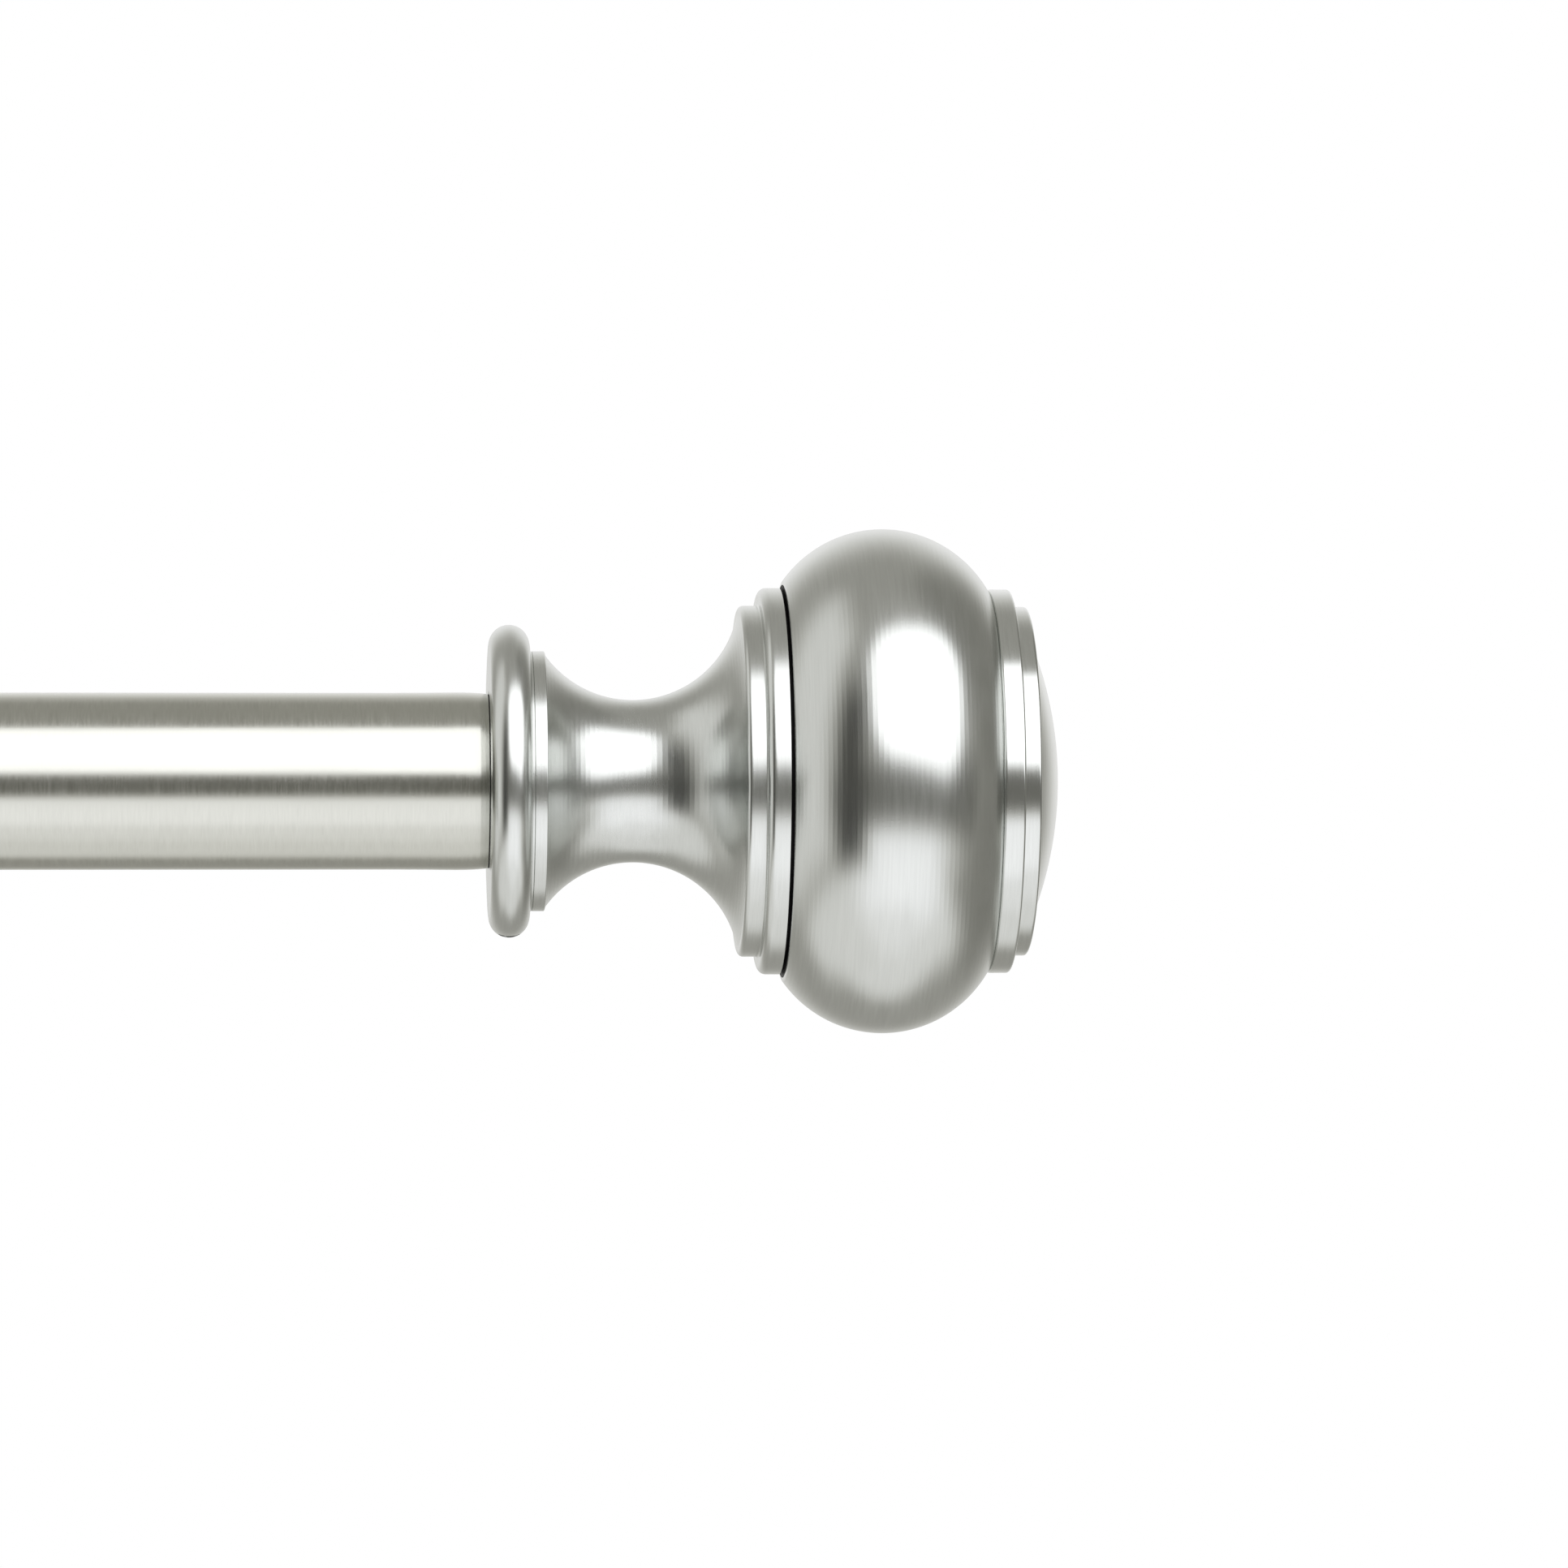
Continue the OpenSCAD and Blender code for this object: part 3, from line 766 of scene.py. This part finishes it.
# How squarely a direction has to face the softbox: it fades in over this range of the cosine
SOFTBOX_FACING = (0.02, 0.05)
LEAST_DEPTH = 0.001

# Colour of the light from the darkest to the brightest level
TINT_LEVELS = (0.1, 1.2)
DARK_TINT = (1.05, 1.03, 0.92)
BRIGHT_TINT = (1.0, 1.0, 1.025)


def make_floor():
    """A plain pale floor, toned like the walls. The metal sees the studio's own table instead."""
    material, graph, _ = new_material("floor_pale")
    graph.nodes.clear()
    way = graph.nodes.new("ShaderNodeVectorMath")
    way.operation = "NORMALIZE"
    graph.feed(way.inputs[0], graph.coordinates("Object"))
    y = graph.parts(way.outputs["Vector"])[1]
    emission = graph.nodes.new("ShaderNodeEmission")
    graph.feed(emission.inputs["Strength"], graph.remap(y, *PALE_FADE, PALE, 1))
    output = graph.nodes.new("ShaderNodeOutputMaterial")
    graph.feed(output.inputs["Surface"], emission.outputs[0])
    mesh = bpy.data.meshes.new("floor")
    reach = FLOOR_SIDE / 2
    corners = [(x * reach, y * reach, FLOOR_Z) for x, y in ((-1, -1), (1, -1), (1, 1), (-1, 1))]
    mesh.from_pydata(corners, [], [(0, 1, 2, 3)])
    floor = bpy.data.objects.new("floor", mesh)
    bpy.context.scene.collection.objects.link(floor)
    mesh.materials.append(material)
    floor.visible_glossy = False
    floor.visible_diffuse = False
    floor.visible_shadow = False


def softbox_share(graph, direction):
    """1 where a direction meets the softbox: a flat panel with round corners, rolled a little."""
    azimuth, elevation, roll = (math.radians(angle) for angle in SOFTBOX_AIM)
    facing = Vector((math.sin(azimuth) * math.cos(elevation), -math.cos(azimuth) * math.cos(elevation),
                     math.sin(elevation)))
    level = Vector((math.cos(azimuth), math.sin(azimuth), 0))
    above = level.cross(facing)
    if above.z < 0:
        above = -above
    across = level * math.cos(roll) + above * math.sin(roll)
    upright = above * math.cos(roll) - level * math.sin(roll)

    def along(axis):
        node = graph.nodes.new("ShaderNodeVectorMath")
        node.operation = "DOT_PRODUCT"
        graph.feed(node.inputs[0], direction)
        graph.feed(node.inputs[1], axis)
        return node.outputs["Value"]

    depth = graph.maths("MAXIMUM", along(facing), LEAST_DEPTH)
    past = []
    for axis, (low, high) in ((across, SOFTBOX_ACROSS), (upright, SOFTBOX_UPRIGHT)):
        place = graph.maths("DIVIDE", along(axis), depth)
        off = graph.maths("ABSOLUTE", graph.subtract(place, (low + high) / 2))
        past.append(graph.maths("MAXIMUM", graph.subtract(off, (high - low) / 2 - SOFTBOX_CORNER), 0.0))
    in_front = graph.remap(along(facing), *SOFTBOX_FACING, 0, 1)
    return graph.multiply(in_front, graph.smooth_edge(graph.length(*past), SOFTBOX_CORNER, SOFTBOX_SOFTNESS))


def make_world():
    """Pale to the eye; to the metal a studio of soft panels, the same for every part of the rod."""
    world = bpy.data.worlds.new("studio")
    bpy.context.scene.world = world
    world.use_nodes = True
    graph = Graph(world.node_tree)
    graph.nodes.clear()
    direction = graph.coordinates("Generated")
    x, y, z = graph.parts(direction)
    azimuth = graph.maths("DEGREES", graph.maths("ARCTAN2", x, graph.multiply(y, -1.0)))
    elevation = graph.maths("DEGREES", graph.maths("ARCSINE", z))
    level = ROOM_LEVEL
    for _, brightness, (middle, half, softness), (rise, rise_half, rise_softness) in STUDIO:
        turn = graph.maths("WRAP", graph.subtract(azimuth, middle), 180.0, -180.0)
        across = graph.smooth_edge(graph.maths("ABSOLUTE", turn), half, softness)
        lift = graph.maths("ABSOLUTE", graph.subtract(elevation, rise))
        share = graph.multiply(across, graph.smooth_edge(lift, rise_half, rise_softness))
        level = graph.blend(share, level, brightness)
    level = graph.blend(softbox_share(graph, direction), level, SOFTBOX_LEVEL)
    room = graph.nodes.new("ShaderNodeBackground")
    tint = graph.mix_colour(graph.remap(level, *TINT_LEVELS, 0, 1), DARK_TINT, BRIGHT_TINT)
    graph.feed(room.inputs["Color"], tint)
    graph.feed(room.inputs["Strength"], level)
    pale = graph.nodes.new("ShaderNodeBackground")
    graph.feed(pale.inputs["Color"], (1, 1, 1, 1))
    graph.feed(pale.inputs["Strength"], graph.remap(y, *PALE_FADE, PALE, 1))
    mix = graph.nodes.new("ShaderNodeMixShader")
    graph.feed(mix.inputs["Fac"], graph.nodes.new("ShaderNodeLightPath").outputs["Is Camera Ray"])
    graph.feed(mix.inputs[1], room.outputs[0])
    graph.feed(mix.inputs[2], pale.outputs[0])
    output = graph.nodes.new("ShaderNodeOutputWorld")
    graph.feed(output.inputs["Surface"], mix.outputs[0])


# ---------------------------------------------------------------- camera

# Camera and the point that it looks at (metres): X from the ring's face, distance from the rod's axis
CAMERA_DISTANCE = 1.052
CAMERA_X = -0.0276
CAMERA_Z = 0.0
AIM_X = 0.0426
AIM_Z = -0.0004
CAMERA_LENS = 167.8


def make_camera():
    """At the rod's height, about a metre away, a little left of the finial's ring."""
    data = bpy.data.cameras.new("camera")
    data.sensor_width = 36
    data.lens = CAMERA_LENS
    data.clip_start = 0.01
    data.clip_end = 50
    camera = bpy.data.objects.new("camera", data)
    ring = finial_place("right")[0][0] * MM
    place = Vector((ring + CAMERA_X, ROD_Y * MM - CAMERA_DISTANCE, CAMERA_Z))
    target = Vector((ring + AIM_X, ROD_Y * MM, AIM_Z))
    camera.location = place
    camera.rotation_euler = (target - place).to_track_quat("-Z", "Y").to_euler()
    bpy.context.scene.collection.objects.link(camera)
    bpy.context.scene.camera = camera


# ---------------------------------------------------------------- the set

def finish_cad_nodes():
    """Finishes for the CAD nodes that are shown as they are."""
    finishes = {"inner_glide": GLIDE, "reducer_sleeve": ALUMINIUM}
    for side in SIDES:
        for part in ("finial_stud", "wall_plate", "wall_screws"):
            finishes[f"{side}_{part}"] = ZINC
        for part in ("finial_set_screw", "rosette_screw"):
            finishes[f"{side}_{part}"] = BLACK
        for part in ("rod_pad", "arm_pad"):
            finishes[f"{side}_{part}"] = NYLON
        for part in ("arm_sleeve", "rosette", "arm_shaft", "cup", "rod_screw", "arm_screw"):
            finishes[f"{side}_{part}"] = BRACKET_METAL[side]
    for node, material in finishes.items():
        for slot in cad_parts[node].material_slots:
            slot.material = material


bpy.context.scene.view_settings.view_transform = "Standard"
make_camera()
make_world()
make_floor()
make_outer_tube()
make_inner_tube()
make_glide_bush()
for side in SIDES:
    make_finial(side)
finish_cad_nodes()
bpy.data.materials.remove(CUTTER_PLAIN)
